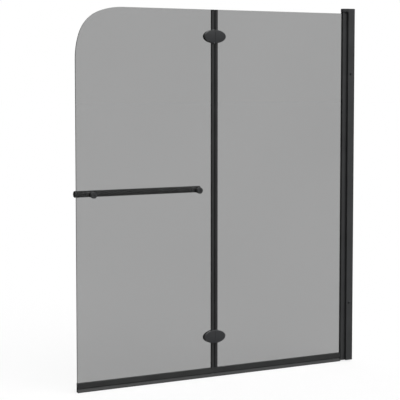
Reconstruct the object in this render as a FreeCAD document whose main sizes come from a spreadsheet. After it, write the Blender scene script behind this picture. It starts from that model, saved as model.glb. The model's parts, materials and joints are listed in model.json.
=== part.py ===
import FreeCAD, Part
import Sketcher
import os

# Two-panel folding bath screen.
# Frame: X = 0 is the house wall and the screen reaches along -X, Y = 0 is the middle of the glass
# with the front at -Y, Z = 0 is the foot of the wall profile.

doc = FreeCAD.newDocument("folding_bath_screen")
dim = doc.addObject("Spreadsheet::Sheet", "dim")

sizes = [
    # whole screen
    ("screen_width", 1200, "house wall to the free edge"),
    ("screen_height", 1400, "lowest edge of the drip lip to the top of the cap"),
    ("seam_share", 0.5266, "folding seam from the house wall, as a share of the width"),
    ("glass_thick", 6, "thickness of both panes"),
    ("glass_drop", 19, "top of the cap down to the top of the panes"),
    ("glass_lift", 14.5, "foot of the wall profile up to the panes"),
    ("lip_drop", 4, "drip lip below the foot of the wall profile"),
    ("corner_reach", 185, "start of the round top corner of the folding pane, along its edges"),
    ("corner_flank", 267, "radius of the two flanks of that corner"),
    ("corner_radius", 130, "radius at its middle"),
    ("edge_bevel", 0.5, "ground edge of the panes"),
    # fits
    ("seat_gap", 0.1, "clearance of pieces that stay together"),
    ("slide_gap", 0.3, "clearance of pieces that move past each other"),
    ("cut_over", 10, "overrun of every cut"),
    # wall channel
    ("wall_wide", 30, "wall channel, away from the wall"),
    ("wall_deep", 34, "wall channel, front to back"),
    ("wall_skin", 1.6, "side walls of the wall channel"),
    ("wall_web", 2, "web against the house wall"),
    ("mouth_lip", 4, "guide lips at the mouth"),
    ("guide_rib", 3, "guide ribs near the web"),
    ("guide_from_wall", 6, "house wall to the guide ribs"),
    ("profile_round", 1, "rounded long edges of both profiles"),
    ("wall_hole_radius", 2.5, "holes for the wall screws"),
    ("wall_hole_margin", 100, "end of the wall channel to its first hole"),
    ("wall_hole_pitch", 396, "distance of the two middle holes"),
    # cap on top of the profiles
    ("cap_height", 12, "cap above the profiles"),
    ("cap_round", 1.5, "rounded top edges of the cap"),
    ("tongue_long", 10, "tongues of the cap inside the wall channel"),
    # clamp screws in the front of the wall channel
    ("clamp_from_wall", 19.5, "house wall to the clamp screws"),
    ("clamp_from_top", 256.7, "top of the cap down to the upper clamp screw"),
    ("clamp_from_foot", 230, "foot of the wall channel up to the lower clamp screw"),
    ("clamp_radius", 4.5, "clamp screw"),
    ("clamp_sunk", 1.5, "clamp screw below the face of the channel"),
    ("clamp_socket", 2.4, "corner radius of its hexagon socket"),
    ("clamp_socket_deep", 4, "depth of its hexagon socket"),
    # profile that carries the inner pane
    ("channel_deep", 15, "glass channel, front to back"),
    ("channel_reach", 50, "house wall to the mouth of the glass channel"),
    ("channel_clear", 8, "house wall to the rear of the glass channel"),
    ("channel_skin", 1.6, "walls of the glass channel"),
    ("pocket_deep", 19, "depth of the glass pocket"),
    ("gasket_wall", 2, "glazing gasket"),
    # edge profiles and bead along the seam
    ("edge_cover", 12.7, "seam to the outer side of an edge profile"),
    ("edge_deep", 11, "edge profile, front to back"),
    ("edge_from_seam", 6, "seam to the edge of a pane"),
    ("edge_under", 4, "length of the curved ends of an edge profile at the hinges"),
    ("nose_gap", 3.2, "distance of the two rounded noses"),
    ("nose_round", 3.5, "rounding of the noses"),
    ("bead_radius", 1.3, "soft bead between the noses"),
    ("bead_stem", 1.4, "thickness of its stem"),
    ("bead_root", 1.8, "groove for its stem"),
    ("bead_drop", 2, "top of the pane down to the top of the bead"),
    # bottom rails and drip lips
    ("rail_deep", 11, "bottom rail, front to back"),
    ("rail_high", 19, "height of a bottom rail"),
    ("rail_web", 3, "bottom rail under the pane"),
    ("lip_out", 6.5, "middle of the glass to the front edge of the lip"),
    ("lip_edge", 3, "height of that front edge"),
    ("lip_fin", 2.5, "thickness of the front fin"),
    ("lip_root", 5.5, "thickness of the lip under the rail"),
    ("lip_neck", 3.5, "recess between the rail and the front fin"),
    ("lip_neck_deep", 3, "depth of that recess"),
    ("rail_gap", 0.4, "distance of the rails and lips at the seam"),
    ("wiper_thick", 2.5, "rear wiper of the lip"),
    ("wiper_short", 1, "rear wiper above the lowest edge"),
    # hinges
    ("hinge_from_top", 118.3, "top of the cap down to the middle of the upper hinge"),
    ("hinge_from_foot", 149.3, "foot of the wall channel up to the middle of the lower hinge"),
    ("plate_long", 90, "oval plates, across the seam"),
    ("plate_tall", 49.4, "oval plates, along the seam"),
    ("plate_thick", 6.5, "front plates, at their middle"),
    ("plate_dome", 255, "radius of their gently rounded faces"),
    ("plate_round", 1.2, "rounded rim of the front plates"),
    ("plate_gap", 0.8, "gap between the two halves"),
    ("pad_thick", 1, "pads between plate and glass"),
    ("pad_inset", 1, "pads inside the outline of the plates"),
    ("leaf_thick", 6, "back leaves"),
    ("leaf_round", 2, "rounded rim of the back leaves"),
    ("leaf_web", 8, "axis of the pin to the end of the knuckle web"),
    ("barrel_out", 12, "middle of the glass to the axis of the pin"),
    ("barrel_long", 44, "all knuckles together"),
    ("knuckle_radius", 6, "knuckles"),
    ("knuckle_long", 14, "knuckle of the folding side"),
    ("pin_radius", 3, "hinge pin"),
    ("pin_fit", 0.05, "radial clearance of the hinge pin"),
    ("pin_head_radius", 4.5, "head of the hinge pin"),
    ("pin_head", 2, "height of that head"),
    ("bush_wall", 1.2, "wall of the bush"),
    ("washer_thick", 0.7, "thrust washers"),
    ("screw_from_seam", 24, "seam to the hinge screws"),
    ("screw_spread", 22, "distance of the two screws of a half"),
    ("screw_radius", 2.5, "hinge screws"),
    ("screw_head_radius", 4.5, "heads of the hinge screws"),
    ("screw_head", 3, "height of those heads"),
    ("screw_bite", 5, "hinge screw inside a front plate"),
    ("screw_socket", 1.7, "corner radius of the hexagon socket"),
    ("screw_socket_deep", 1.8, "depth of the hexagon socket"),
    ("hinge_hole_radius", 6, "hinge holes in the panes"),
    # towel bar
    ("bar_height", 705.3, "axis of the towel bar above the foot"),
    ("bar_out", 62, "middle of the glass to the axis of the bar"),
    ("bar_radius", 12, "towel bar"),
    ("bar_wall", 1.5, "wall of the bar tube"),
    ("bar_inset", 22, "free edge to the end of the bar"),
    ("bar_from_seam", 29.4, "folding seam to the other end of the bar"),
    ("bar_end_thick", 3, "flange of a bar end"),
    ("bar_end_plug", 8, "bar end inside the tube"),
    ("bar_end_round", 0.8, "rounded rim of a bar end"),
    ("post_inset", 66, "free edge to the left post"),
    ("post_from_seam", 66.5, "folding seam to the right post"),
    ("post_radius", 9, "posts"),
    ("spigot_radius", 4, "spigot of a post in the bar"),
    ("spigot_long", 3, "spigot past the wall of the tube"),
    ("bar_cap_radius", 11.5, "screw caps on the front"),
    ("bar_cap_thick", 9, "screw caps"),
    ("bar_cap_round", 1, "rounded rim of the screw caps"),
    ("bar_cap_socket", 3.2, "corner radius of the hexagon socket"),
    ("bar_cap_socket_deep", 2.5, "depth of the hexagon socket"),
    ("bar_pad", 0.8, "washers against the glass"),
    ("bar_hole_radius", 6, "bar holes in the folding pane"),
    ("stud_radius", 3, "stud through the glass"),
    ("stud_bite", 12, "stud inside a post"),
    ("stud_cap_bite", 6, "stud inside a screw cap"),
    ("set_screw_radius", 2, "set screw under a post"),
    ("set_screw_along", 7, "foot of a post to its set screw"),
    ("set_screw_sunk", 0.5, "set screw below the face of the post"),
]
for row, (alias, number, note) in enumerate(sizes, start=1):
    dim.set(f"A{row}", note)
    dim.set(f"B{row}", str(number))
    dim.setAlias(f"B{row}", alias)
doc.recompute()

# places that several pieces share, as expressions on the sheet
top = "(dim.screen_height - dim.lip_drop)"
profile_top = f"({top} - dim.cap_height)"
glass_top = f"({top} - dim.glass_drop)"
glass_foot = "dim.glass_lift"
half_glass = "(dim.glass_thick / 2)"
seam = "(-dim.screen_width * dim.seam_share)"
free_edge = "(-dim.screen_width)"
half_wall = "(dim.wall_deep / 2)"
half_channel = "(dim.channel_deep / 2)"
half_pocket = f"({half_glass} + dim.gasket_wall)"
pocket_floor = "(-dim.channel_reach + dim.pocket_deep)"
half_rail = "(dim.rail_deep / 2)"
rail_foot = "(dim.glass_lift - dim.rail_web)"
rail_top = f"({rail_foot} + dim.rail_high)"
plate_seat = f"({half_glass} + dim.pad_thick)"
leaf_face = f"({plate_seat} + dim.leaf_thick)"
bar_left = f"({free_edge} + dim.bar_inset)"
bar_right = f"({seam} - dim.bar_from_seam)"
post_seat = f"({half_glass} + dim.bar_pad)"

nodes = []


def keep(label, thing):
    # a finished piece, under the name of its node
    thing.Label = label
    nodes.append((label, thing))
    return thing


def value(text):
    return float(dim.evalExpression(text))


def bind(thing, places):
    for prop, text in places.items():
        thing.setExpression(prop, text)
    return thing


def between(low, high):
    return f"({high}) - ({low})"


def block(name, x, y, z):
    # a box between pairs of low and high places
    thing = doc.addObject("Part::Box", name)
    return bind(thing, {
        "Length": between(*x), "Width": between(*y), "Height": between(*z),
        "Placement.Base.x": x[0], "Placement.Base.y": y[0], "Placement.Base.z": z[0],
    })


turns = {
    "x": FreeCAD.Rotation(FreeCAD.Vector(0, 1, 0), 90),
    "y": FreeCAD.Rotation(FreeCAD.Vector(1, 0, 0), -90),
    "z": FreeCAD.Rotation(),
}


def along(thing, axis, start, length_name, length):
    # stands a piece that grows along its own Z on a start point, turned along a frame axis
    thing.Placement = FreeCAD.Placement(FreeCAD.Vector(), turns[axis])
    return bind(thing, {
        length_name: length,
        "Placement.Base.x": start[0], "Placement.Base.y": start[1], "Placement.Base.z": start[2],
    })


def spot(axis, low, side):
    # start point from the low end along the axis and the two other coordinates in order
    order = {"x": (low, *side), "y": (side[0], low, side[1]), "z": (*side, low)}
    return order[axis]


def rod(name, axis, radius, side, low, high):
    thing = doc.addObject("Part::Cylinder", name)
    thing.setExpression("Radius", radius)
    return along(thing, axis, spot(axis, low, side), "Height", between(low, high))


def hexagon(name, axis, corner, side, low, high):
    thing = doc.addObject("Part::Prism", name)
    thing.Polygon = 6
    thing.setExpression("Circumradius", corner)
    return along(thing, axis, spot(axis, low, side), "Height", between(low, high))


def fused(name, *things):
    thing = doc.addObject("Part::MultiFuse", name)
    thing.Shapes = list(things)
    return thing


def less(name, base, *tools):
    thing = doc.addObject("Part::Cut", name)
    thing.Base = base
    thing.Tool = tools[0] if len(tools) == 1 else fused(f"{name}_tools", *tools)
    return thing


def shared(name, *things):
    thing = doc.addObject("Part::MultiCommon", name)
    thing.Shapes = list(things)
    return thing


def together(name, things):
    # separate solids in one node
    thing = doc.addObject("Part::Compound", name)
    thing.Links = list(things)
    return thing


def rounded(name, base, radius_name, wanted):
    # rounds the edges of a part whose middle point passes the test
    doc.recompute()
    thing = doc.addObject("Part::Fillet", name)
    thing.Base = base
    radius = value(f"dim.{radius_name}")
    thing.Edges = [
        (index, radius, radius)
        for index, edge in enumerate(base.Shape.Edges, start=1)
        if wanted(middle(edge))
    ]
    return thing


def middle(edge):
    first, last = edge.ParameterRange
    return edge.valueAt((first + last) / 2)


def near(a, b):
    return abs(a - b) < Part.Vertex(0, 0, 0).Tolerance * value("dim.screen_height")


# bodies drawn as sketches
def body(label):
    return keep(label, doc.addObject("PartDesign::Body", label))


def plane(owner, role):
    return next(item for item in owner.Origin.OriginFeatures if item.Role == role)


def sketch_on(owner, name, role):
    sketch = owner.newObject("Sketcher::SketchObject", name)
    sketch.AttachmentSupport = [(plane(owner, role), "")]
    sketch.MapMode = "FlatFace"
    return sketch


def tie(sketch, item, corner, x, y):
    # ties a sketch point to two expressions, measured from the sketch origin
    for kind, text, axis in (("DistanceX", x, -2), ("DistanceY", y, -1)):
        if text == "0":
            sketch.addConstraint(Sketcher.Constraint("PointOnObject", item, corner, axis))
        else:
            rule = Sketcher.Constraint(kind, -1, 1, item, corner, value(text))
            sketch.setExpression(f"Constraints[{sketch.addConstraint(rule)}]", text)


def tie_radius(sketch, item, radius):
    rule = Sketcher.Constraint("Radius", item, value(radius))
    sketch.setExpression(f"Constraints[{sketch.addConstraint(rule)}]", radius)


def left_bend(start, end, radius):
    # arc of less than half a circle
    chord = end - start
    rise = (radius ** 2 - chord.Length ** 2 / 4) ** 0.5
    centre = start + chord / 2 + FreeCAD.Vector(-chord.y, chord.x, 0).normalize() * rise
    circle = Part.Circle(centre, FreeCAD.Vector(0, 0, 1), radius)
    return Part.ArcOfCircle(circle, circle.parameter(start), circle.parameter(end))


def outline(sketch, points, bends=None):
    # closed outline, every corner tied to the sheet; it is straight but where bends gives the first
    # corner of a stretch a radius
    bends = bends or {}
    spots = [FreeCAD.Vector(value(x), value(y), 0) for x, y in points]
    first = sketch.GeometryCount
    count = len(spots)
    for index, start in enumerate(spots):
        end = spots[(index + 1) % count]
        if index in bends:
            sketch.addGeometry(left_bend(start, end, value(bends[index])), False)
        else:
            sketch.addGeometry(Part.LineSegment(start, end), False)
    for index in range(count):
        following = first + (index + 1) % count
        sketch.addConstraint(Sketcher.Constraint("Coincident", first + index, 2, following, 1))
    for index, (x, y) in enumerate(points):
        tie(sketch, first + index, 1, x, y)
    for index, radius in bends.items():
        tie_radius(sketch, first + index, radius)


def circles(sketch, radius, centres):
    for x, y in centres:
        centre = FreeCAD.Vector(value(x), value(y), 0)
        item = sketch.addGeometry(Part.Circle(centre, FreeCAD.Vector(0, 0, 1), value(radius)), False)
        tie(sketch, item, 3, x, y)
        tie_radius(sketch, item, radius)


def pad(owner, sketch, length):
    feature = owner.newObject("PartDesign::Pad", f"{sketch.Name}_pad")
    feature.Profile = sketch
    feature.setExpression("Length", length)
    doc.recompute()
    return feature


def drill(owner, sketch, backwards):
    before = owner.Shape.Volume
    feature = owner.newObject("PartDesign::Pocket", f"{sketch.Name}_holes")
    feature.Profile = sketch
    feature.Type = "ThroughAll"
    feature.Reversed = backwards
    doc.recompute()
    if not owner.Shape.Volume < before:
        raise RuntimeError(f"{sketch.Name} cuts nothing")
    return feature


def soften(owner, kind, size_name, size, wanted):
    # rounds or bevels the edges of a body whose middle point, in the body's own frame, passes the test
    base = owner.Tip
    names = [
        f"Edge{index}"
        for index, edge in enumerate(base.Shape.Edges, start=1)
        if wanted(middle(edge))
    ]
    feature = owner.newObject(f"PartDesign::{kind}", f"{owner.Name}_{kind.lower()}")
    feature.Base = (base, names)
    feature.setExpression(size_name, size)
    doc.recompute()
    return feature


def extruded(owner, role, points, length, start):
    # a straight profile: an outline in a base plane, drawn out over a length and set at its start point
    sketch = sketch_on(owner, f"{owner.Name}_section", role)
    outline(sketch, points)
    pad(owner, sketch, length)
    return bind(owner, {f"Placement.Base.{axis}": place for axis, place in start.items()})


def mirrored_pairs(half):
    # outline of a section that is alike on both sides of the glass: one half, then its mirror image
    return half + [(x, f"-({y})") for x, y in reversed(half)]


clamp_places = {"low": "dim.clamp_from_foot", "high": f"({top} - dim.clamp_from_top)"}


# wall channel with guide lips at its mouth and guide ribs near its web
def make_wall_channel():
    mouth = "-dim.wall_wide"
    lip_end = "-(dim.wall_wide - dim.mouth_lip)"
    rib_end = "-(dim.guide_from_wall + dim.guide_rib)"
    rib_start = "-dim.guide_from_wall"
    web = "-dim.wall_web"
    inner = f"({half_wall} - dim.wall_skin)"
    guide = f"({half_channel} + dim.slide_gap)"
    half = [
        ("0", half_wall), (mouth, half_wall), (mouth, guide), (lip_end, guide), (lip_end, inner),
        (rib_end, inner), (rib_end, guide), (rib_start, guide), (rib_start, inner), (web, inner),
    ]
    channel = extruded(body("wall_channel"), "XY_Plane", mirrored_pairs(half), profile_top, {})
    front = -value("dim.wall_wide")
    side = value(half_wall)
    soften(channel, "Fillet", "Radius", "dim.profile_round",
           lambda m: near(m.x, front) and near(abs(m.y), side))
    centre = f"{profile_top} / 2"
    heights = [
        "dim.wall_hole_margin", f"{centre} - dim.wall_hole_pitch / 2",
        f"{centre} + dim.wall_hole_pitch / 2", f"{profile_top} - dim.wall_hole_margin",
    ]
    wall_holes = sketch_on(channel, "wall_screw", "YZ_Plane")
    circles(wall_holes, "dim.wall_hole_radius", [("0", height) for height in heights])
    drill(channel, wall_holes, False)
    clamp_holes = sketch_on(channel, "clamp_screw", "XZ_Plane")
    circles(clamp_holes, "dim.clamp_radius + dim.seat_gap",
            [("-dim.clamp_from_wall", height) for height in clamp_places.values()])
    drill(channel, clamp_holes, True)


# cap over both profiles, held by two tongues beside the glass channel
def make_wall_top_cap():
    half = [
        ("0", half_wall), ("-dim.wall_wide", half_wall), ("-dim.channel_reach", half_channel),
    ]
    cap = extruded(body("wall_top_cap"), "XY_Plane", mirrored_pairs(half), "dim.cap_height",
                   {"z": profile_top})
    height = value("dim.cap_height")
    soften(cap, "Fillet", "Radius", "dim.cap_round",
           lambda m: near(m.z, height) and not near(m.x, 0))
    tongues = sketch_on(cap, "cap_tongues", "XY_Plane")
    far = "-(dim.wall_wide - dim.mouth_lip - dim.slide_gap)"
    close = "-(dim.guide_from_wall + dim.guide_rib + dim.slide_gap)"
    outer = f"({half_wall} - dim.wall_skin - dim.slide_gap)"
    inner = f"({half_channel} + dim.slide_gap)"
    for sign in ("", "-"):
        outline(tongues, [
            (far, f"{sign}{inner}"), (far, f"{sign}{outer}"),
            (close, f"{sign}{outer}"), (close, f"{sign}{inner}"),
        ])
    feature = pad(cap, tongues, "dim.tongue_long")
    feature.Reversed = True


# two recessed screws that hold the glass channel where it was set
def make_clamp_screws():
    outer = f"(-{half_wall} + dim.clamp_sunk)"
    inner = f"(-{half_channel} - dim.slide_gap)"
    screws = []
    for name, height in clamp_places.items():
        side = ("-dim.clamp_from_wall", height)
        shank = rod(f"clamp_shank_{name}", "y", "dim.clamp_radius", side, outer, inner)
        socket = hexagon(f"clamp_socket_{name}", "y", "dim.clamp_socket", side,
                         f"{outer} - dim.cut_over", f"{outer} + dim.clamp_socket_deep")
        screws.append(less(f"clamp_screw_{name}", shank, socket))
    keep("clamp_screws", together("clamp_pair", screws))


# hollow profile with a pocket for the inner pane; it slides in the wall channel
def make_glass_channel():
    mouth = "-dim.channel_reach"
    rear = "-dim.channel_clear"
    skin = "dim.channel_skin"
    owner = body("glass_channel")
    sketch = sketch_on(owner, "glass_channel_section", "XY_Plane")
    outline(sketch, mirrored_pairs([
        (rear, half_channel), (mouth, half_channel), (mouth, half_pocket), (pocket_floor, half_pocket),
    ]))
    hollow_side = f"{half_channel} - {skin}"
    outline(sketch, mirrored_pairs([
        (f"{rear} - {skin}", hollow_side), (f"{pocket_floor} + {skin}", hollow_side),
    ]))
    pad(owner, sketch, f"{profile_top} - dim.slide_gap")
    front = -value("dim.channel_reach")
    side = value(half_channel)
    soften(owner, "Fillet", "Radius", "dim.profile_round",
           lambda m: near(m.x, front) and near(abs(m.y), side))


# rubber round the wall edge of the inner pane
def make_glazing_gasket():
    mouth = "-dim.channel_reach"
    outer = f"({half_pocket} - dim.seat_gap)"
    floor = f"({pocket_floor} - dim.seat_gap)"
    glass_edge = f"{pocket_floor} - dim.gasket_wall"
    half = [(floor, outer), (mouth, outer), (mouth, half_glass), (glass_edge, half_glass)]
    extruded(body("glazing_gasket"), "XY_Plane", mirrored_pairs(half), between(glass_foot, glass_top),
             {"z": glass_foot})


# where the two flanks of the round corner would meet: its distance from the edges of the pane
flank_sum = "(dim.corner_flank + dim.corner_reach)"
flank_meet = f"(({flank_sum} - sqrt({flank_sum}^2 - 2 * dim.corner_reach^2)) / 2)"


# a pane with ground edges and its holes; the round corner has two flatter flanks and a tighter middle
def make_pane(label, left, right, hole_rows, round_corner):
    owner = body(label)
    sketch = sketch_on(owner, f"{label}_outline", "XZ_Plane")
    corners = [(left, glass_foot), (right, glass_foot), (right, glass_top)]
    if round_corner:
        meeting = (f"{left} + {flank_meet}", f"{glass_top} - {flank_meet}")
        flanks = {len(corners): "dim.corner_flank", len(corners) + 1: "dim.corner_flank"}
        corners.append((f"{left} + dim.corner_reach", glass_top))
        corners.append(meeting)
        corners.append((left, f"{glass_top} - dim.corner_reach"))
        outline(sketch, corners, flanks)
        pad(owner, sketch, "dim.glass_thick")
        across, height = value(meeting[0]), value(meeting[1])
        soften(owner, "Fillet", "Radius", "dim.corner_radius",
               lambda m: near(m.x, across) and near(m.z, height))
    else:
        outline(sketch, corners + [(left, glass_top)])
        pad(owner, sketch, "dim.glass_thick")
    depth = value("dim.glass_thick")
    soften(owner, "Chamfer", "Size", "dim.edge_bevel", lambda m: near(m.y, 0) or near(m.y, -depth))
    for index, (radius, centres) in enumerate(hole_rows):
        holes = sketch_on(owner, f"{label}_holes_{index}", "XZ_Plane")
        circles(holes, radius, centres)
        drill(owner, holes, True)
    bind(owner, {"Placement.Base.y": half_glass})


# the two screws of one hinge half
def screw_spots(sign, height):
    across = f"{seam} {sign} dim.screw_from_seam"
    return [(across, f"{height} {way} dim.screw_spread / 2") for way in ("-", "+")]


# the sign of a panel's own side of the seam: the fixed panel lies towards +X
panel_sides = {"fixed": "+", "door": "-"}
hinge_places = {"lower": "dim.hinge_from_foot", "upper": f"({top} - dim.hinge_from_top)"}
post_places = {
    "left": f"({free_edge} + dim.post_inset)",
    "right": f"({seam} - dim.post_from_seam)",
}


def make_panes():
    hinge_holes = {
        panel: [place for height in hinge_places.values() for place in screw_spots(sign, height)]
        for panel, sign in panel_sides.items()
    }
    bar_holes = [(place, "dim.bar_height") for place in post_places.values()]
    make_pane("fixed_glass", f"{seam} + dim.edge_from_seam", f"{pocket_floor} - dim.gasket_wall",
              [("dim.hinge_hole_radius", hinge_holes["fixed"])], False)
    make_pane("door_glass", free_edge, f"{seam} - dim.edge_from_seam",
              [("dim.hinge_hole_radius", hinge_holes["door"]), ("dim.bar_hole_radius", bar_holes)], True)


# oval slab over the seam, from the given seat outwards
def oval_slab(name, height, seat, face, inset):
    oval = doc.addObject("Part::Ellipse", f"{name}_oval")
    oval.Placement = FreeCAD.Placement(FreeCAD.Vector(), turns["y"])
    bind(oval, {
        "MajorRadius": f"dim.plate_long / 2 - {inset}", "MinorRadius": f"dim.plate_tall / 2 - {inset}",
        "Placement.Base.x": seam, "Placement.Base.y": seat, "Placement.Base.z": height,
    })
    slab = doc.addObject("Part::Extrusion", f"{name}_slab")
    slab.Base = oval
    slab.DirMode = "Custom"
    slab.Dir = FreeCAD.Vector(0, 1, 0)
    slab.Solid = True
    slab.setExpression("LengthFwd", between(seat, face))
    return slab


plate_end = "(dim.plate_tall / 2 + dim.slide_gap)"
strip_spans = {
    "lower": (f"{rail_top} + dim.slide_gap", f"{hinge_places['lower']} - {plate_end}"),
    "middle": (f"{hinge_places['lower']} + {plate_end}", f"{hinge_places['upper']} - {plate_end}"),
    "upper": (f"{hinge_places['upper']} + {plate_end}", glass_top),
}


# edge profiles along the seam, in three lengths whose ends follow the ovals of the hinges
def make_edges():
    ovals = {
        hinge: oval_slab(f"clear_of_{hinge}", height, "-dim.edge_deep", "dim.edge_deep", "(-dim.slide_gap)")
        for hinge, height in hinge_places.items()
    }
    ends = {"lower": ("0", "dim.edge_under", ["lower"]), "upper": ("dim.edge_under", "0", ["upper"]),
            "middle": ("dim.edge_under", "dim.edge_under", ["lower", "upper"])}
    deep = "(dim.edge_deep / 2)"
    slot = f"({half_glass} + dim.seat_gap)"
    groove = "(dim.bead_stem / 2 + dim.seat_gap)"
    nose = "dim.nose_gap / 2"
    for panel, sign in panel_sides.items():
        tip = f"{sign}({nose})"
        root = f"{sign}({nose} + dim.bead_root)"
        floor = f"{sign}(dim.edge_from_seam - dim.seat_gap)"
        side = f"{sign}dim.edge_cover"
        half = [
            (root, groove), (tip, groove), (tip, deep), (side, deep), (side, slot), (floor, slot),
        ]
        for name, (low, high) in strip_spans.items():
            label = f"{panel}_edge_{name}"
            below, above, hinges = ends[name]
            strip = doc.addObject("PartDesign::Body", f"{label}_strip")
            extruded(strip, "XY_Plane", mirrored_pairs(half),
                     between(f"{low} - {below}", f"{high} + {above}"), {"x": seam, "z": f"{low} - {below}"})
            front = value(tip)
            depth = value(deep)
            soften(strip, "Fillet", "Radius", "dim.nose_round",
                   lambda m: near(m.x, front) and near(abs(m.y), depth))
            keep(label, less(f"{label}_ends", strip, *[ovals[hinge] for hinge in hinges]))


# soft bead in the seam, its stem in the groove of the fixed edge profile
def make_meeting_seals():
    half_stem = "dim.bead_stem / 2"
    for name, (low, high) in strip_spans.items():
        end = f"{high} - dim.bead_drop" if name == "upper" else high
        bead = rod(f"bead_{name}", "z", "dim.bead_radius", (seam, "0"), low, end)
        stem = block(f"stem_{name}",
                     (seam, f"{seam} + dim.nose_gap / 2 + dim.bead_root - dim.seat_gap"),
                     (f"-{half_stem}", half_stem), (low, end))
        keep(f"meeting_seal_{name}", fused(f"bead_and_stem_{name}", bead, stem))


# clip along the foot of each pane, and the drip lip under it
def make_bottom_seals():
    slot = f"({half_glass} + dim.seat_gap)"
    lowest = "(-dim.lip_drop)"
    lip_roof = f"{rail_foot} - dim.lip_root"
    neck = f"({half_rail} - dim.lip_neck_deep)"
    runs = {
        "fixed": (f"{seam} + dim.rail_gap / 2", "-dim.channel_reach - dim.slide_gap"),
        "door": (free_edge, f"{seam} - dim.rail_gap / 2"),
    }
    # the front fin slopes from a recess under the rail to its blunt front edge, and the rear wiper
    # hangs straight down
    lip = [
        (half_rail, rail_foot), (f"-{neck}", rail_foot), (f"-{neck}", f"{rail_foot} - dim.lip_neck"),
        ("-dim.lip_out", f"{lowest} + dim.lip_edge"), ("-dim.lip_out", lowest),
        ("-(dim.lip_out - dim.lip_fin)", lowest), (f"-({neck} - dim.lip_fin)", lip_roof),
        (f"{half_rail} - dim.wiper_thick", lip_roof),
        (f"{half_rail} - dim.wiper_thick", f"{lowest} + dim.wiper_short"),
        (half_rail, f"{lowest} + dim.wiper_short"),
    ]
    rail = [
        (f"-{half_rail}", rail_foot), (half_rail, rail_foot), (half_rail, rail_top), (slot, rail_top),
        (slot, "dim.glass_lift"), (f"-{slot}", "dim.glass_lift"), (f"-{slot}", rail_top),
        (f"-{half_rail}", rail_top),
    ]
    for panel, (low, high) in runs.items():
        for name, section in (("rail", rail), ("lip", lip)):
            extruded(body(f"{panel}_bottom_{name}"), "YZ_Plane", section, between(low, high), {"x": low})


# half of an oval slab: from the given seat outwards, on one side of the seam
def half_oval(name, sign, height, seat, face, inset, inner):
    slab = oval_slab(name, height, seat, face, inset)
    reach = "(dim.plate_long / 2 + dim.cut_over)"
    start, end = f"{seam} {sign} {inner}", f"{seam} {sign} {reach}"
    x = (start, end) if sign == "+" else (end, start)
    low, high = sorted((seat, face), key=value)
    side = block(f"{name}_side", x, (f"{low} - dim.cut_over", f"{high} + dim.cut_over"),
                 (f"{height} - {reach}", f"{height} + {reach}"))
    return shared(f"{name}_half", slab, side)


screw_hole = "(dim.screw_radius + dim.seat_gap)"
screw_end = f"(-{plate_seat} - dim.screw_bite)"
half_gap = "dim.plate_gap / 2"


# front plate: a half oval with a gently rounded face and rim and two blind holes for the screws
def make_front_plate(hinge, height, panel, sign):
    name = f"{hinge}_{panel}_plate"
    face = f"-({plate_seat} + dim.plate_thick)"
    half = half_oval(name, sign, height, f"-{plate_seat}", face, "0", half_gap)
    axis_place = (f"{face} + dim.plate_dome", height)
    dome = rod(f"{name}_dome", "x", "dim.plate_dome", axis_place,
               f"{seam} - dim.plate_long", f"{seam} + dim.plate_long")
    across, up = (value(place) for place in axis_place)
    radius = value("dim.plate_dome")
    straight = value(f"{seam} {sign} {half_gap}")
    slab = rounded(f"{name}_rounded", shared(f"{name}_domed", half, dome), "plate_round",
                   lambda m: near(((m.y - across) ** 2 + (m.z - up) ** 2) ** 0.5, radius)
                   and not near(m.x, straight))
    holes = [
        rod(f"{name}_hole_{index}", "y", screw_hole, side, f"{screw_end} - dim.seat_gap",
            f"-{plate_seat} + dim.cut_over")
        for index, side in enumerate(screw_spots(sign, height))
    ]
    keep(f"{hinge}_hinge_{panel}_plate", less(f"{name}_drilled", slab, *holes))


axis_side = (seam, "dim.barrel_out")
bush_outer = "(dim.pin_radius + dim.pin_fit + dim.bush_wall)"
half_knuckle = "(dim.knuckle_long / 2)"
half_barrel = "(dim.barrel_long / 2)"
washer_room = "(dim.washer_thick + 2 * dim.seat_gap)"


# heights of the knuckles on each leaf, above and below the middle of the hinge
def knuckle_spans(panel, height):
    if panel == "door":
        return [(f"{height} - {half_knuckle}", f"{height} + {half_knuckle}")]
    inner = f"({half_knuckle} + {washer_room})"
    return [
        (f"{height} - {half_barrel}", f"{height} - {inner}"),
        (f"{height} + {inner}", f"{height} + {half_barrel}"),
    ]


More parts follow.
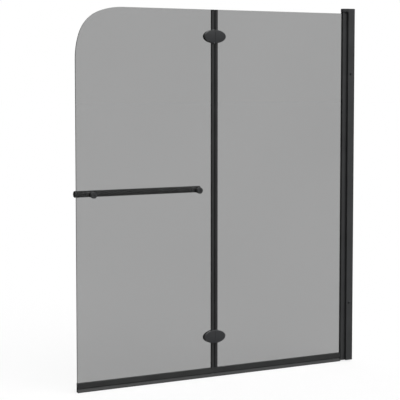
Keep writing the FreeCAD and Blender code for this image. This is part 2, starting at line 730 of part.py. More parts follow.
# back leaf: half oval with sunk screw heads and the knuckles of its own side
def make_back_leaf(hinge, height, panel, sign):
    name = f"{hinge}_{panel}_leaf"
    half = half_oval(name, sign, height, plate_seat, leaf_face, "0", half_gap)
    level = value(leaf_face)
    straight = value(f"{seam} {sign} {half_gap}")
    slab = rounded(f"{name}_rounded", half, "leaf_round",
                   lambda m: near(m.y, level) and not near(m.x, straight))
    tall = (f"{height} - dim.plate_tall", f"{height} + dim.plate_tall")
    relief = rod(f"{name}_relief", "z", "dim.knuckle_radius + dim.slide_gap", axis_side, *tall)
    tools = [relief]
    for index, side in enumerate(screw_spots(sign, height)):
        tools.append(rod(f"{name}_hole_{index}", "y", screw_hole, side,
                         f"{plate_seat} - dim.cut_over", f"{leaf_face} + dim.cut_over"))
        tools.append(rod(f"{name}_sink_{index}", "y", "dim.screw_head_radius + dim.seat_gap", side,
                         f"{leaf_face} - dim.screw_head", f"{leaf_face} + dim.cut_over"))
    pieces = [less(f"{name}_slab_cut", slab, *tools)]
    knuckle_front = "dim.barrel_out - dim.knuckle_radius"
    ends = (seam, f"{seam} {sign} dim.leaf_web")
    x = ends if sign == "+" else ends[::-1]
    for index, span in enumerate(knuckle_spans(panel, height)):
        pieces.append(rod(f"{name}_knuckle_{index}", "z", "dim.knuckle_radius", axis_side, *span))
        pieces.append(block(f"{name}_web_{index}", x, (knuckle_front, leaf_face), span))
    bore = "dim.pin_radius + dim.pin_fit" if panel == "fixed" else f"{bush_outer} + dim.pin_fit"
    drilled = rod(f"{name}_bore", "z", bore, axis_side, *tall)
    keep(f"{hinge}_hinge_{panel}_leaf", less(f"{name}_bored", fused(f"{name}_solid", *pieces), drilled))


# pads on both faces of the glass
def make_pads(hinge, height, panel, sign):
    name = f"{hinge}_{panel}_pad"
    pads = []
    for face, way in (("front", "-"), ("back", "")):
        slab = half_oval(f"{name}_{face}", sign, height, f"{way}{half_glass}", f"{way}{plate_seat}",
                         "dim.pad_inset", "dim.edge_from_seam")
        low, high = sorted((f"{way}{half_glass}", f"{way}{plate_seat}"), key=value)
        holes = [
            rod(f"{name}_{face}_hole_{index}", "y", screw_hole, side, f"{low} - dim.cut_over",
                f"{high} + dim.cut_over")
            for index, side in enumerate(screw_spots(sign, height))
        ]
        pads.append(less(f"{name}_{face}_cut", slab, *holes))
    keep(f"{hinge}_hinge_{panel}_pads", together(f"{name}_pair", pads))


# screws from the back leaf into the front plate, and the sleeves round them in the glass
def make_screws(hinge, height, panel, sign):
    name = f"{hinge}_{panel}_screw"
    seat = f"({leaf_face} - dim.screw_head)"
    screws = []
    sleeves = []
    for index, side in enumerate(screw_spots(sign, height)):
        shank = rod(f"{name}_shank_{index}", "y", "dim.screw_radius", side, screw_end, leaf_face)
        head = rod(f"{name}_head_{index}", "y", "dim.screw_head_radius", side, seat, leaf_face)
        socket = hexagon(f"{name}_socket_{index}", "y", "dim.screw_socket", side,
                         f"{leaf_face} - dim.screw_socket_deep", f"{leaf_face} + dim.cut_over")
        whole = fused(f"{name}_whole_{index}", shank, head)
        screws.append(less(f"{name}_{index}", whole, socket))
        outer = rod(f"{name}_sleeve_{index}", "y", "dim.hinge_hole_radius - dim.seat_gap", side,
                    f"-{half_glass}", half_glass)
        inner = rod(f"{name}_sleeve_bore_{index}", "y", screw_hole, side,
                    f"-{half_glass} - dim.cut_over", f"{half_glass} + dim.cut_over")
        sleeves.append(less(f"{name}_sleeve_cut_{index}", outer, inner))
    keep(f"{hinge}_hinge_{panel}_screws", together(f"{name}_pair", screws))
    keep(f"{hinge}_hinge_{panel}_sleeves", together(f"{name}_sleeves", sleeves))


# pin with its head, bush of the folding knuckle, thrust washers above and below that knuckle
def make_pin(hinge, height):
    crown = f"{height} + {half_barrel}"
    shaft = rod(f"{hinge}_pin_shaft", "z", "dim.pin_radius", axis_side, f"{height} - {half_barrel}", crown)
    head = rod(f"{hinge}_pin_head", "z", "dim.pin_head_radius", axis_side, crown, f"{crown} + dim.pin_head")
    keep(f"{hinge}_hinge_pin", fused(f"{hinge}_pin_whole", shaft, head))
    span = (f"{height} - {half_knuckle}", f"{height} + {half_knuckle}")
    over = (f"{span[0]} - dim.cut_over", f"{span[1]} + dim.cut_over")
    running = "dim.pin_radius + dim.pin_fit"
    bush = rod(f"{hinge}_bush_outer", "z", bush_outer, axis_side, *span)
    bore = rod(f"{hinge}_bush_bore", "z", running, axis_side, *over)
    keep(f"{hinge}_hinge_bush", less(f"{hinge}_bush_cut", bush, bore))
    washers = []
    offset = f"({half_knuckle} + dim.seat_gap)"
    feet = {"under": f"{height} - {offset} - dim.washer_thick", "over": f"{height} + {offset}"}
    for name, low in feet.items():
        disc = rod(f"{hinge}_washer_{name}", "z", "dim.knuckle_radius - dim.seat_gap", axis_side,
                   low, f"{low} + dim.washer_thick")
        hole = rod(f"{hinge}_washer_{name}_bore", "z", running, axis_side,
                   f"{low} - dim.cut_over", f"{low} + dim.cut_over")
        washers.append(less(f"{hinge}_washer_{name}_cut", disc, hole))
    keep(f"{hinge}_hinge_washers", together(f"{hinge}_washer_pair", washers))


def make_hinges():
    for hinge, height in hinge_places.items():
        for panel, sign in panel_sides.items():
            make_front_plate(hinge, height, panel, sign)
            make_back_leaf(hinge, height, panel, sign)
            make_pads(hinge, height, panel, sign)
            make_screws(hinge, height, panel, sign)
        make_pin(hinge, height)


bar_side = ("dim.bar_out", "dim.bar_height")
spigot_end = "(dim.bar_out - dim.bar_radius + dim.bar_wall + dim.spigot_long)"
stud_hole = "(dim.stud_radius + dim.seat_gap)"
cap_face = f"(-{post_seat} - dim.bar_cap_thick)"
stud_front = f"(-{post_seat} - dim.stud_cap_bite)"
stud_back = f"({post_seat} + dim.stud_bite)"


# tube of the towel bar with a hole for the spigot of each post
def make_towel_bar():
    low = f"{bar_left} + dim.bar_end_thick"
    high = f"{bar_right} - dim.bar_end_thick"
    tube = rod("bar_outside", "x", "dim.bar_radius", bar_side, low, high)
    bore = rod("bar_inside", "x", "dim.bar_radius - dim.bar_wall", bar_side,
               f"{low} - dim.cut_over", f"{high} + dim.cut_over")
    holes = [
        rod(f"bar_spigot_hole_{name}", "y", "dim.spigot_radius + dim.seat_gap", (place, "dim.bar_height"),
            "dim.bar_out - dim.bar_radius - dim.cut_over", "dim.bar_out")
        for name, place in post_places.items()
    ]
    keep("towel_bar", less("bar_tube", tube, bore, *holes))
    ends = {
        "left": (bar_left, low, low, f"{low} + dim.bar_end_plug"),
        "right": (high, bar_right, f"{high} - dim.bar_end_plug", high),
    }
    for name, (flange_low, flange_high, plug_low, plug_high) in ends.items():
        flange = rod(f"bar_flange_{name}", "x", "dim.bar_radius", bar_side, flange_low, flange_high)
        outside = value(bar_left if name == "left" else bar_right)
        flange = rounded(f"bar_flange_{name}_rounded", flange, "bar_end_round",
                         lambda m: near(m.x, outside))
        plug = rod(f"bar_plug_{name}", "x", "dim.bar_radius - dim.bar_wall - dim.seat_gap", bar_side,
                   plug_low, plug_high)
        keep(f"{name}_bar_end", fused(f"bar_end_{name}", flange, plug))


# post with a saddle against the tube, a spigot into it, and holes for the stud and the set screw
def make_bar_post(name, place):
    side = (place, "dim.bar_height")
    stem = rod(f"post_stem_{name}", "y", "dim.post_radius", side, post_seat, "dim.bar_out")
    saddle = rod(f"post_saddle_{name}", "x", "dim.bar_radius + dim.seat_gap", bar_side,
                 f"{place} - dim.post_radius - dim.cut_over", f"{place} + dim.post_radius + dim.cut_over")
    spigot = rod(f"post_spigot_{name}", "y", "dim.spigot_radius", side, stud_back, spigot_end)
    solid = fused(f"post_solid_{name}", less(f"post_saddled_{name}", stem, saddle), spigot)
    stud = rod(f"post_stud_hole_{name}", "y", stud_hole, side,
               f"{post_seat} - dim.cut_over", f"{stud_back} + dim.seat_gap")
    screw = rod(f"post_screw_hole_{name}", "z", "dim.set_screw_radius + dim.seat_gap",
                (place, f"{post_seat} + dim.set_screw_along"),
                "dim.bar_height - dim.post_radius - dim.cut_over", "dim.bar_height")
    keep(f"{name}_bar_post", less(f"post_{name}", solid, stud, screw))


# round screw cap on the front, with a hexagon socket
def make_bar_cap(name, place):
    side = (place, "dim.bar_height")
    disc = rod(f"cap_disc_{name}", "y", "dim.bar_cap_radius", side, cap_face, f"-{post_seat}")
    level = value(cap_face)
    disc = rounded(f"cap_rounded_{name}", disc, "bar_cap_round", lambda m: near(m.y, level))
    socket = hexagon(f"cap_socket_{name}", "y", "dim.bar_cap_socket", side,
                     f"{cap_face} - dim.cut_over", f"{cap_face} + dim.bar_cap_socket_deep")
    hole = rod(f"cap_stud_hole_{name}", "y", stud_hole, side, f"{stud_front} - dim.seat_gap",
               f"-{post_seat} + dim.cut_over")
    keep(f"{name}_bar_cap", less(f"cap_{name}", disc, socket, hole))


def make_bar_fasteners():
    washers = []
    sleeves = []
    studs = []
    set_screws = []
    for name, place in post_places.items():
        side = (place, "dim.bar_height")
        faces = (("front", f"-{post_seat}", f"-{half_glass}"), ("back", half_glass, post_seat))
        for face, low, high in faces:
            disc = rod(f"bar_washer_{name}_{face}", "y", "dim.post_radius", side, low, high)
            hole = rod(f"bar_washer_{name}_{face}_bore", "y", stud_hole, side,
                       f"{low} - dim.cut_over", f"{high} + dim.cut_over")
            washers.append(less(f"bar_washer_{name}_{face}_cut", disc, hole))
        sleeve = rod(f"bar_sleeve_{name}", "y", "dim.bar_hole_radius - dim.seat_gap", side,
                     f"-{half_glass}", half_glass)
        bore = rod(f"bar_sleeve_{name}_bore", "y", stud_hole, side,
                   f"-{half_glass} - dim.cut_over", f"{half_glass} + dim.cut_over")
        sleeves.append(less(f"bar_sleeve_{name}_cut", sleeve, bore))
        studs.append(rod(f"bar_stud_{name}", "y", "dim.stud_radius", side, stud_front, stud_back))
        set_screws.append(rod(f"bar_set_screw_{name}", "z", "dim.set_screw_radius",
                              (place, f"{post_seat} + dim.set_screw_along"),
                              "dim.bar_height - dim.post_radius + dim.set_screw_sunk",
                              "dim.bar_height - dim.stud_radius - dim.seat_gap"))
    for label, group in (("bar_washers", washers), ("bar_sleeves", sleeves), ("bar_studs", studs),
                         ("bar_set_screws", set_screws)):
        keep(label, together(f"{label}_group", group))


make_wall_channel()
make_wall_top_cap()
make_clamp_screws()
make_glass_channel()
make_glazing_gasket()
make_panes()
make_edges()
make_meeting_seals()
make_bottom_seals()
make_hinges()
make_towel_bar()
for post_name, post_place in post_places.items():
    make_bar_post(post_name, post_place)
    make_bar_cap(post_name, post_place)
make_bar_fasteners()
doc.recompute()

for item in doc.Objects:
    if "Invalid" in item.State or "Error" in item.State:
        raise RuntimeError(f"{item.Name} failed: {item.State}")
for label, item in nodes:
    if item.Shape.isNull() or not item.Shape.isValid() or not item.Shape.Solids:
        raise RuntimeError(f"{label} has no valid solid")

os.makedirs("parts", exist_ok=True)
for label, item in nodes:
    item.Shape.exportStep(f"parts/{label}.step")
    solids = item.Shape.Solids
    print(label, len(solids), "solid(s)", round(sum(solid.Volume for solid in solids)), "mm3")
print(len(nodes), "nodes")
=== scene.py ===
import bpy
import bmesh
import json
import math
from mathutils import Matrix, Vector


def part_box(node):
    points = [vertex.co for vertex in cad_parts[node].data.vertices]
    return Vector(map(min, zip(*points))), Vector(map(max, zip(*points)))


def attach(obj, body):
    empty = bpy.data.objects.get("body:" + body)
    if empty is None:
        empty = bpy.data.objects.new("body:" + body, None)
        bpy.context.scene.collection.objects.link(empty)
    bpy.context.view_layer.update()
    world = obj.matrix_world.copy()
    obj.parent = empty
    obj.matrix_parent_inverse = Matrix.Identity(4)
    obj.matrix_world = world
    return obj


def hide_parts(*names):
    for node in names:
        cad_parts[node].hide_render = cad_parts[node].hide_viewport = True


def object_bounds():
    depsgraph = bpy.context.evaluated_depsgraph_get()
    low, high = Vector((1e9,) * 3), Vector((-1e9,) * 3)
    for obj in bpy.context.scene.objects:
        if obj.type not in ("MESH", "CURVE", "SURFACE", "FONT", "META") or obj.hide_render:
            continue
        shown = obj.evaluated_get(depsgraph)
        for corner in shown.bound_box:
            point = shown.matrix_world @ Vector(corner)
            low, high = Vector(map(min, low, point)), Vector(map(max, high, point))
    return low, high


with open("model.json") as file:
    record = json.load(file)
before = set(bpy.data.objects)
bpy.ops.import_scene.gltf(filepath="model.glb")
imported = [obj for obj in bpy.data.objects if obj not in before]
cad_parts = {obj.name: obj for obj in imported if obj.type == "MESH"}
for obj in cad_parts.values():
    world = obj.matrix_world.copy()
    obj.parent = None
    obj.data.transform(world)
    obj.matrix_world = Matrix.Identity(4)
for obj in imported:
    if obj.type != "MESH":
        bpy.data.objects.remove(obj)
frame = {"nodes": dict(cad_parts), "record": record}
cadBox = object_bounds()
nodes = frame["nodes"]
slotOf = {row["node"]: row["material_slot"] for row in frame["record"]["subparts"]}
scene = bpy.context.scene


# node tree helpers
def fillSocket(tree, socket, value):
    if isinstance(value, bpy.types.NodeSocket):
        tree.links.new(value, socket)
    else:
        socket.default_value = value


def addNode(tree, kind, values=None, **settings):
    node = tree.nodes.new(kind)
    for name, value in settings.items():
        setattr(node, name, value)
    for label, value in (values or {}).items():
        fillSocket(tree, node.inputs[label], value)
    return node


def calc(tree, operation, first, second=0.0):
    return addNode(tree, "ShaderNodeMath", {0: first, 1: second}, operation=operation).outputs[0]


def remap(tree, value, spanIn, spanOut):
    wanted = {"Value": value, "From Min": spanIn[0], "From Max": spanIn[1],
              "To Min": spanOut[0], "To Max": spanOut[1]}
    return addNode(tree, "ShaderNodeMapRange", wanted).outputs["Result"]


def noise(tree, place, scale, detail):
    wanted = {"Vector": place, "Scale": scale, "Detail": detail}
    return addNode(tree, "ShaderNodeTexNoise", wanted).outputs[0]


def scaleColour(tree, colour, amount):
    wanted = {0: colour, "Scale": amount}
    return addNode(tree, "ShaderNodeVectorMath", wanted, operation="SCALE").outputs[0]


def blendColours(tree, share, first, second):
    node = addNode(tree, "ShaderNodeMix", data_type="RGBA")
    sockets = {socket.identifier: socket for socket in (*node.inputs, *node.outputs)}
    for label, value in (("Factor_Float", share), ("A_Color", first), ("B_Color", second)):
        fillSocket(tree, sockets[label], value)
    return sockets["Result_Color"]


def newGroup(name, inputs, outputs):
    group = bpy.data.node_groups.new(name, "ShaderNodeTree")
    for way, sockets in (("INPUT", inputs), ("OUTPUT", outputs)):
        for label, kind in sockets.items():
            group.interface.new_socket(label, in_out=way, socket_type=f"NodeSocket{kind}")
    return group, addNode(group, "NodeGroupInput").outputs, addNode(group, "NodeGroupOutput").inputs


def newMaterial(name):
    material = bpy.data.materials.new(name)
    material.use_nodes = True
    material.node_tree.nodes.clear()
    return material, material.node_tree


def grey(level):
    return (level, level, level, 1.0)


# grain of a coat or a moulding: fine bumps and a slow drift of tone and gloss
grainLook = {"fineDetail": 2.0, "fineSpan": (0.25, 0.75), "fineSwing": (-0.5, 0.5),
             "slowScale": 14.0, "slowDetail": 4.0, "slowSpan": (0.3, 0.7), "slowSwing": (-1.0, 1.0)}


def makeGrainGroup(look):
    group, given, out = newGroup(
        "surfaceGrain",
        {"Paint": "Color", "Grain Scale": "Float", "Drift": "Float", "Rough": "Float",
         "Rough Drift": "Float"},
        {"Color": "Color", "Roughness": "Float", "Height": "Float"},
    )
    place = addNode(group, "ShaderNodeTexCoord").outputs["Object"]
    fine = noise(group, place, given["Grain Scale"], look["fineDetail"])
    slow = noise(group, place, look["slowScale"], look["slowDetail"])
    swing = remap(group, slow, look["slowSpan"], look["slowSwing"])
    speck = remap(group, fine, look["fineSpan"], look["fineSwing"])
    change = calc(group, "MULTIPLY", calc(group, "ADD", swing, speck), given["Drift"])
    toned = scaleColour(group, given["Paint"], calc(group, "ADD", change, 1.0))
    shine = calc(group, "ADD", given["Rough"], calc(group, "MULTIPLY", swing, given["Rough Drift"]))
    fillSocket(group, out["Color"], toned)
    fillSocket(group, out["Roughness"], shine)
    fillSocket(group, out["Height"], fine)
    return group


# long faint lines, as a die leaves on a profile or a lathe on a pin
linesLook = {"scale": 1.0, "detail": 3.0, "middle": 0.5}


def makeLinesGroup(look):
    group, given, out = newGroup(
        "drawnLines", {"Across": "Vector", "Strength": "Float"}, {"Height": "Float", "Tone": "Float"},
    )
    place = addNode(group, "ShaderNodeTexCoord").outputs["Object"]
    stretched = addNode(group, "ShaderNodeVectorMath", {0: place, 1: given["Across"]}, operation="MULTIPLY")
    lines = noise(group, stretched.outputs[0], look["scale"], look["detail"])
    change = calc(group, "MULTIPLY", calc(group, "SUBTRACT", lines, look["middle"]), given["Strength"])
    fillSocket(group, out["Height"], calc(group, "MULTIPLY", lines, given["Strength"]))
    fillSocket(group, out["Tone"], calc(group, "ADD", change, 1.0))
    return group


# a trace of dust, in patches, on what faces up
dustLook = {"colour": (0.35, 0.34, 0.33, 1), "scale": 45.0, "detail": 5.0, "patchSpan": (0.35, 0.7),
            "patchSwing": (0.3, 1.0), "upSpan": (0.3, 1.0)}


def makeDustGroup(look):
    group, given, out = newGroup("dustVeil", {"Color": "Color", "Amount": "Float"}, {"Color": "Color"})
    coords = addNode(group, "ShaderNodeTexCoord").outputs
    up = addNode(group, "ShaderNodeSeparateXYZ", {0: coords["Normal"]}).outputs["Z"]
    cloud = noise(group, coords["Object"], look["scale"], look["detail"])
    patches = remap(group, cloud, look["patchSpan"], look["patchSwing"])
    settled = calc(group, "MULTIPLY", remap(group, up, look["upSpan"], (0.0, 1.0)), patches)
    mask = calc(group, "MULTIPLY", settled, given["Amount"])
    fillSocket(group, out["Color"], blendColours(group, mask, given["Color"], look["colour"]))
    return group


surfaceGrain = makeGrainGroup(grainLook)
drawnLines = makeLinesGroup(linesLook)
dustVeil = makeDustGroup(dustLook)
print("node groups made")

# what a finish has where it names nothing else; lines are scales across X, Y and Z
plainFinish = {"drift": 0.08, "roughDrift": 0.05, "bump": 0.00005, "bumpShare": 0.6, "lines": None,
               "lineTone": 0.0, "dust": 0.0, "specular": 0.5, "metal": 0.0}
finishes = {
    "profileCoat": {"paint": (0.035, 0.036, 0.037, 1), "grain": 1700.0, "drift": 0.10, "rough": 0.46,
                    "bump": 0.00006, "lines": (650.0, 650.0, 1.5), "lineTone": 0.18, "dust": 0.015,
                    "specular": 0.30},
    "stripCoat": {"paint": (0.0235, 0.0245, 0.0245, 1), "grain": 1700.0, "drift": 0.10, "rough": 0.50,
                  "lines": (650.0, 650.0, 1.5), "lineTone": 0.16, "dust": 0.015, "specular": 0.28},
    # fixed-side strips: a copy of the strip coat with less specular and a hair less green, kept darker as
    # painted shade
    "shadedStripCoat": {"paint": (0.0235, 0.024, 0.0245, 1), "grain": 1700.0, "drift": 0.10, "rough": 0.50,
                      "lines": (650.0, 650.0, 1.5), "lineTone": 0.16, "dust": 0.015, "specular": 0.24},
    "railCoat": {"paint": (0.0265, 0.0275, 0.0275, 1), "grain": 1700.0, "drift": 0.10, "rough": 0.46,
                 "bump": 0.00006, "lines": (1.5, 650.0, 650.0), "lineTone": 0.18, "dust": 0.015,
                 "specular": 0.30},
    "hingeCoat": {"paint": (0.031, 0.032, 0.034, 1), "grain": 1300.0, "rough": 0.38, "dust": 0.015,
                  "specular": 0.36},
    # the bar seen behind the glass: paint and specular well below its caps' coat of the same black, as
    # painted shade
    "shadedBarCoat": {"paint": (0.014, 0.015, 0.015, 1), "grain": 1600.0, "rough": 0.55,
                "lines": (2.0, 500.0, 500.0), "lineTone": 0.10, "dust": 0.01, "specular": 0.13},
    "barCapCoat": {"paint": (0.034, 0.035, 0.036, 1), "grain": 1600.0, "rough": 0.58, "specular": 0.22},
    "capMoulding": {"paint": (0.035, 0.036, 0.038, 1), "grain": 900.0, "rough": 0.55, "roughDrift": 0.06,
                    "bump": 0.00009, "dust": 0.02, "specular": 0.30},
    "sealRubber": {"paint": (0.033, 0.034, 0.034, 1), "grain": 700.0, "drift": 0.12, "rough": 0.62,
                   "roughDrift": 0.06, "bump": 0.00008, "lines": (1.0, 420.0, 420.0), "lineTone": 0.16,
                   "dust": 0.04, "specular": 0.28},
    "sleeveNylon": {"paint": (0.70, 0.69, 0.66, 1), "grain": 1200.0, "drift": 0.04, "rough": 0.45},
    "pinSteel": {"paint": (0.52, 0.52, 0.53, 1), "grain": 2500.0, "drift": 0.04, "rough": 0.30,
                 "roughDrift": 0.06, "bump": 0.00003, "lines": (30.0, 30.0, 3200.0), "lineTone": 0.25,
                 "metal": 1.0},
    "screwBlack": {"paint": (0.010, 0.010, 0.011, 1), "grain": 2200.0, "drift": 0.10, "rough": 0.36,
                   "roughDrift": 0.06, "bump": 0.00004, "specular": 0.4},
}


def makeFinish(name, look):
    material, tree = newMaterial(name)
    grain = addNode(tree, "ShaderNodeGroup", {
        "Paint": look["paint"], "Grain Scale": look["grain"], "Drift": look["drift"],
        "Rough": look["rough"], "Rough Drift": look["roughDrift"],
    }, node_tree=surfaceGrain).outputs
    colour, height = grain["Color"], grain["Height"]
    if look["lines"]:
        wanted = {"Across": look["lines"], "Strength": look["lineTone"]}
        lines = addNode(tree, "ShaderNodeGroup", wanted, node_tree=drawnLines).outputs
        colour = scaleColour(tree, colour, lines["Tone"])
        height = calc(tree, "ADD", height, lines["Height"])
    if look["dust"]:
        wanted = {"Color": colour, "Amount": look["dust"]}
        colour = addNode(tree, "ShaderNodeGroup", wanted, node_tree=dustVeil).outputs["Color"]
    bump = addNode(tree, "ShaderNodeBump", {
        "Height": height, "Strength": look["bumpShare"], "Distance": look["bump"],
    })
    shader = addNode(tree, "ShaderNodeBsdfPrincipled", {
        "Base Color": colour, "Roughness": grain["Roughness"], "Normal": bump.outputs[0],
        "Specular IOR Level": look["specular"], "Metallic": look["metal"],
    })
    addNode(tree, "ShaderNodeOutputMaterial", {"Surface": shader.outputs[0]})
    material.diffuse_color = look["paint"]
    return material


# smoked panes: clear polished faces, ground edges that are darker and dull
paneGlass = {
    "face": (0.351, 0.353, 0.353), "faceRough": 0.015, "index": 1.5, "lampTint": 0.75,
    "tintScale": 1.6, "tintDetail": 1.0, "tintSwing": (0.985, 1.015),
    "edge": (0.17, 0.175, 0.175, 1), "edgeRough": 0.30, "edgeSpan": (0.80, 0.98),
    "grindScale": 900.0, "grindDetail": 2.0, "grindSwing": (0.8, 1.2),
    "noiseSpan": (0.3, 0.7), "bump": 0.0001, "bumpShare": 0.5,
}


def makeGlass(look):
    material, tree = newMaterial("smokedGlass")
    coords = addNode(tree, "ShaderNodeTexCoord").outputs
    side = addNode(tree, "ShaderNodeSeparateXYZ", {0: coords["Normal"]}).outputs["Y"]
    edge = remap(tree, calc(tree, "ABSOLUTE", side), look["edgeSpan"], (1.0, 0.0))
    grind = noise(tree, coords["Object"], look["grindScale"], look["grindDetail"])
    tint = noise(tree, coords["Object"], look["tintScale"], look["tintDetail"])
    face = scaleColour(tree, look["face"], remap(tree, tint, look["noiseSpan"], look["tintSwing"]))
    colour = blendColours(tree, edge, face, look["edge"])
    dull = calc(tree, "MULTIPLY", edge, remap(tree, grind, look["noiseSpan"], look["grindSwing"]))
    rough = calc(tree, "ADD", calc(tree, "MULTIPLY", dull, look["edgeRough"]), look["faceRough"])
    height = calc(tree, "MULTIPLY", grind, edge)
    bump = addNode(tree, "ShaderNodeBump", {
        "Height": height, "Strength": look["bumpShare"], "Distance": look["bump"],
    })
    shader = addNode(tree, "ShaderNodeBsdfPrincipled", {
        "Base Color": colour, "Roughness": rough, "Normal": bump.outputs[0], "IOR": look["index"],
        "Transmission Weight": 1.0, "Metallic": 0.0,
    })
    lampPass = addNode(tree, "ShaderNodeBsdfTransparent", {"Color": grey(look["lampTint"])})
    shadowRay = addNode(tree, "ShaderNodeLightPath").outputs["Is Shadow Ray"]
    mixed = addNode(tree, "ShaderNodeMixShader", {
        0: shadowRay, 1: shader.outputs[0], 2: lampPass.outputs[0],
    })
    addNode(tree, "ShaderNodeOutputMaterial", {"Surface": mixed.outputs[0]})
    return material


materials = {name: makeFinish(name, {**plainFinish, **look}) for name, look in finishes.items()}
materials["smokedGlass"] = makeGlass(paneGlass)
print("finishes:", ", ".join(materials))

# the finish of each slot in the record, and of nodes that differ from their slot
seamLengths = ("lower", "middle", "upper")
slotFinish = {
    # the bar_black slot takes the darker bar coat, painted shade; its caps in front take barCapCoat
    "profile_black": "profileCoat", "hinge_black": "hingeCoat", "bar_black": "shadedBarCoat",
    "cap_plastic": "capMoulding", "smoked_glass": "smokedGlass", "seal_rubber": "sealRubber",
    "sleeve_nylon": "sleeveNylon", "pin_steel": "pinSteel", "screw_black": "screwBlack",
}
nodeFinish = {
    "fixed_bottom_rail": "railCoat", "door_bottom_rail": "railCoat",
    "left_bar_cap": "barCapCoat", "right_bar_cap": "barCapCoat",
    **{f"door_edge_{length}": "stripCoat" for length in seamLengths},
    # the fixed side's strips take the darker copy of the strip coat, as painted shade
    **{f"fixed_edge_{length}": "shadedStripCoat" for length in seamLengths},
}
for name, node in nodes.items():
    finish = nodeFinish.get(name, slotFinish[slotOf[name]])
    node.data.materials.clear()
    node.data.materials.append(materials[finish])
print("materials set on every CAD node")


def placePiece(name, mesh, body, finish, node):
    piece = bpy.data.objects.new(name, mesh)
    scene.collection.objects.link(piece)
    mesh.materials.append(materials[finish])
    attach(piece, body)
    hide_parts(node)


# soft drip lips: a crown under the rail, a fin that slopes to a blunt front edge, a wiper at the rear
dripLip = {
    "neckSetback": 0.004, "neckDrop": 0.0035, "edgeHeight": 0.003, "archDrop": 0.0055,
    "wiperLift": 0.001, "thick": 0.0025, "corner": 0.0007, "cornerShare": 0.45, "cornerSteps": 4,
    "pitch": 0.02, "sway": 0.00025,
    "waves": [(23.0, 0.0, 1.0), (61.0, 1.0, 0.6)],  # radians a metre, phase, share of the sway
}


def lipSection(low, high, look):
    front, rear, foot, crown = low.y, high.y, low.z, high.z
    neck, arch, thick = front + look["neckSetback"], crown - look["archDrop"], look["thick"]
    fin = [(neck, crown), (neck, crown - look["neckDrop"]), (front, foot + look["edgeHeight"]),
           (front, foot), (front + thick, foot), (neck + thick, arch)]
    wiperFoot = foot + look["wiperLift"]
    wiper = [(rear - thick, arch), (rear - thick, wiperFoot), (rear, wiperFoot)]
    return [(rear, crown)] + fin + wiper


def roundCorners(points, look):
    loop = []
    for index, point in enumerate(points):
        here = Vector(point)
        before = Vector(points[index - 1]) - here
        after = Vector(points[(index + 1) % len(points)]) - here
        reach = min(look["corner"], before.length * look["cornerShare"], after.length * look["cornerShare"])
        start, end = here + before.normalized() * reach, here + after.normalized() * reach
        for step in range(look["cornerSteps"] + 1):
            share = step / look["cornerSteps"]
            bend = (1 - share) ** 2 * start + 2 * share * (1 - share) * here + share ** 2 * end
            loop.append((bend.x, bend.y))
    return loop


def makeDripLip(name, body, node):
    low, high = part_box(node)
    size = high - low
    loop = roundCorners(lipSection(low, high, dripLip), dripLip)
    runs = round(size.x / dripLip["pitch"])
    shape = bmesh.new()
    rings = []
    for run in range(runs + 1):
        along = low.x + size.x * run / runs
        swing = sum(share * math.sin(along * rate + phase) for rate, phase, share in dripLip["waves"])
        sway = dripLip["sway"] * swing / size.z  # grows from nothing at the crown
        rings.append([shape.verts.new((along, y + sway * (high.z - z), z)) for y, z in loop])
    for first, second in zip(rings, rings[1:]):
        for index in range(len(loop)):
            following = (index + 1) % len(loop)
            shape.faces.new((first[index], first[following], second[following], second[index]))
    for end in (rings[0], rings[-1][::-1]):
        for edge in shape.faces.new(end).edges:
            edge.smooth = False  # keeps the flat ends crisp
    bmesh.ops.recalc_face_normals(shape, faces=shape.faces)
    mesh = bpy.data.meshes.new(name)
    shape.to_mesh(mesh)
    shape.free()
    mesh.polygons.foreach_set("use_smooth", [len(face.vertices) == 4 for face in mesh.polygons])
    placePiece(name, mesh, body, "sealRubber", node)


makeDripLip("fixedDripLip", "fixed_panel", "fixed_bottom_lip")
makeDripLip("doorDripLip", "folding_panel", "door_bottom_lip")
print("drip lips made")

# soft hollow bead in the seam, with a stem in the groove of the fixed edge profile
seamBead = {"outer": 0.0013, "inner": 0.0007, "sides": 28, "stemHalf": 0.0007, "stemReach": 0.0033}


def circlePoints(middle, radius, first, last, count):
    turns = [first + (last - first) * step / count for step in range(count + 1)]
    return [(middle + radius * math.cos(turn), radius * math.sin(turn)) for turn in turns]


def makeSeamBead(name, node):
    low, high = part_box(node)
    outer, half, sides = seamBead["outer"], seamBead["stemHalf"], seamBead["sides"]
    seam = low.x + outer
    far = seam + seamBead["stemReach"]
    meet = math.asin(half / outer)  # where the stem leaves the ring
    ring = circlePoints(seam, outer, meet, math.tau - meet, sides)
    bore = circlePoints(seam, seamBead["inner"], 0.0, math.tau, sides)[:-1]
    shape = bmesh.new()
    rims = {low.z: [], high.z: []}
    for loop in (ring + [(far, -half), (far, half)], bore):
        ends = [[shape.verts.new((x, y, level)) for x, y in loop] for level in rims]
        for index in range(len(loop)):
            corners = [ends[0][index - 1], ends[0][index], ends[1][index], ends[1][index - 1]]
            shape.faces.new(corners)
            rims[low.z].append(shape.edges.get(corners[:2]))
            rims[high.z].append(shape.edges.get(corners[2:]))
    for edges in rims.values():
        bmesh.ops.triangle_fill(shape, edges=edges, use_beauty=True)
    bmesh.ops.recalc_face_normals(shape, faces=shape.faces)
    mesh = bpy.data.meshes.new(name)
    shape.to_mesh(mesh)
    shape.free()
    placePiece(name, mesh, "fixed_panel", "sealRubber", node)


for length in seamLengths:
    makeSeamBead(f"seamBead.{length}", f"meeting_seal_{length}")
print("seam beads made")

# stage: white floor that takes a soft shadow, white all round, and a paler top for gloss to show
stageLook = {"floorGap": 0.0005, "floorHalf": 60.0, "floorPaint": 0.20, "floorLift": 0.747, "ambient": 0.28,
             "glossShare": 0.05, "glossLow": 0.295, "glossTowards": (0.10, -0.15, 0.98),
             "glossSpan": (0.2, 0.95)}


def seenRays(tree):
    path = addNode(tree, "ShaderNodeLightPath").outputs
    direct = calc(tree, "MAXIMUM", path["Is Camera Ray"], path["Is Transmission Ray"])
    return direct, path["Is Glossy Ray"]


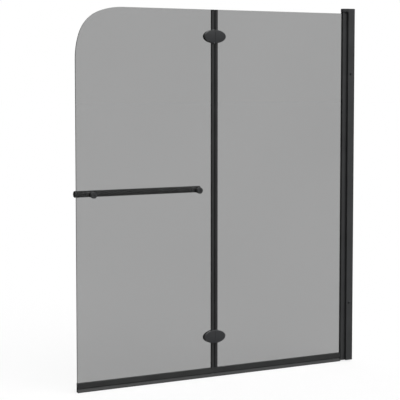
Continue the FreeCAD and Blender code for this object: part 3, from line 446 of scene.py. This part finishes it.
def makeFloor(look):
    half = look["floorHalf"]
    mesh = bpy.data.meshes.new("floor")
    corners = [(-half, -half, 0), (half, -half, 0), (half, half, 0), (-half, half, 0)]
    mesh.from_pydata(corners, [], [(0, 1, 2, 3)])
    floor = bpy.data.objects.new("floor", mesh)
    floor.location.z = cadBox[0].z - look["floorGap"]
    scene.collection.objects.link(floor)
    material, tree = newMaterial("studioFloor")
    direct, glossy = seenRays(tree)
    paint = addNode(tree, "ShaderNodeBsdfDiffuse", {"Color": grey(look["floorPaint"])})
    seen = calc(tree, "MAXIMUM", direct, calc(tree, "MULTIPLY", glossy, look["glossShare"]))
    lift = calc(tree, "MULTIPLY", seen, look["floorLift"])
    glow = addNode(tree, "ShaderNodeEmission", {"Color": grey(1.0), "Strength": lift})
    both = addNode(tree, "ShaderNodeAddShader", {0: paint.outputs[0], 1: glow.outputs[0]})
    addNode(tree, "ShaderNodeOutputMaterial", {"Surface": both.outputs[0]})
    mesh.materials.append(material)


def makeWorld(look):
    world = bpy.data.worlds.new("studio")
    scene.world = world
    world.use_nodes = True
    tree = world.node_tree
    tree.nodes.clear()
    direct, glossy = seenRays(tree)
    towards = addNode(tree, "ShaderNodeTexCoord").outputs["Generated"]
    wanted = {0: towards, 1: look["glossTowards"]}
    facing = addNode(tree, "ShaderNodeVectorMath", wanted, operation="DOT_PRODUCT").outputs["Value"]
    softbox = remap(tree, facing, look["glossSpan"], (look["glossLow"], 1.0))
    ambient = calc(tree, "MULTIPLY", calc(tree, "SUBTRACT", 1.0, glossy), look["ambient"])
    sent = calc(tree, "ADD", ambient, calc(tree, "MULTIPLY", glossy, softbox))
    white = calc(tree, "MAXIMUM", direct, calc(tree, "MULTIPLY", calc(tree, "SUBTRACT", 1.0, direct), sent))
    back = addNode(tree, "ShaderNodeBackground", {"Color": grey(1.0), "Strength": white})
    addNode(tree, "ShaderNodeOutputWorld", {"Surface": back.outputs[0]})


makeFloor(stageLook)
makeWorld(stageLook)

# lamps: a key from above, in front and to the right, and a weak one from behind
lamps = {
    "keySun": {"towards": (0.24, -0.60, 0.76), "strength": 3.3, "angle": 60.0},
    "backSun": {"towards": (0.30, 0.70, 0.65), "strength": 0.9, "angle": 70.0},
}
for name, look in lamps.items():
    data = bpy.data.lights.new(name, "SUN")
    data.energy = look["strength"]
    data.angle = math.radians(look["angle"])
    lamp = bpy.data.objects.new(name, data)
    lamp.rotation_mode = "QUATERNION"
    lamp.rotation_quaternion = Vector(look["towards"]).to_track_quat("Z", "Y")
    scene.collection.objects.link(lamp)
print("stage and lamps set")

# camera of the photograph: from the front left, at about breast height
photoCamera = {"place": (-3.2375, -4.4471, 1.1064), "yaw": 29.782, "pitch": 4.2104, "lens": 123.909,
               "sensor": 36.0, "shiftY": -0.04, "clipEnd": 200.0}
cameraData = bpy.data.cameras.new("photoCamera")
cameraData.sensor_width = photoCamera["sensor"]
cameraData.lens = photoCamera["lens"]
cameraData.shift_y = photoCamera["shiftY"]
cameraData.clip_end = photoCamera["clipEnd"]
camera = bpy.data.objects.new("photoCamera", cameraData)
camera.location = photoCamera["place"]
camera.rotation_euler = (math.radians(90 - photoCamera["pitch"]), 0, math.radians(-photoCamera["yaw"]))
scene.collection.objects.link(camera)
scene.camera = camera
scene.view_settings.view_transform = "Standard"
print("camera set")
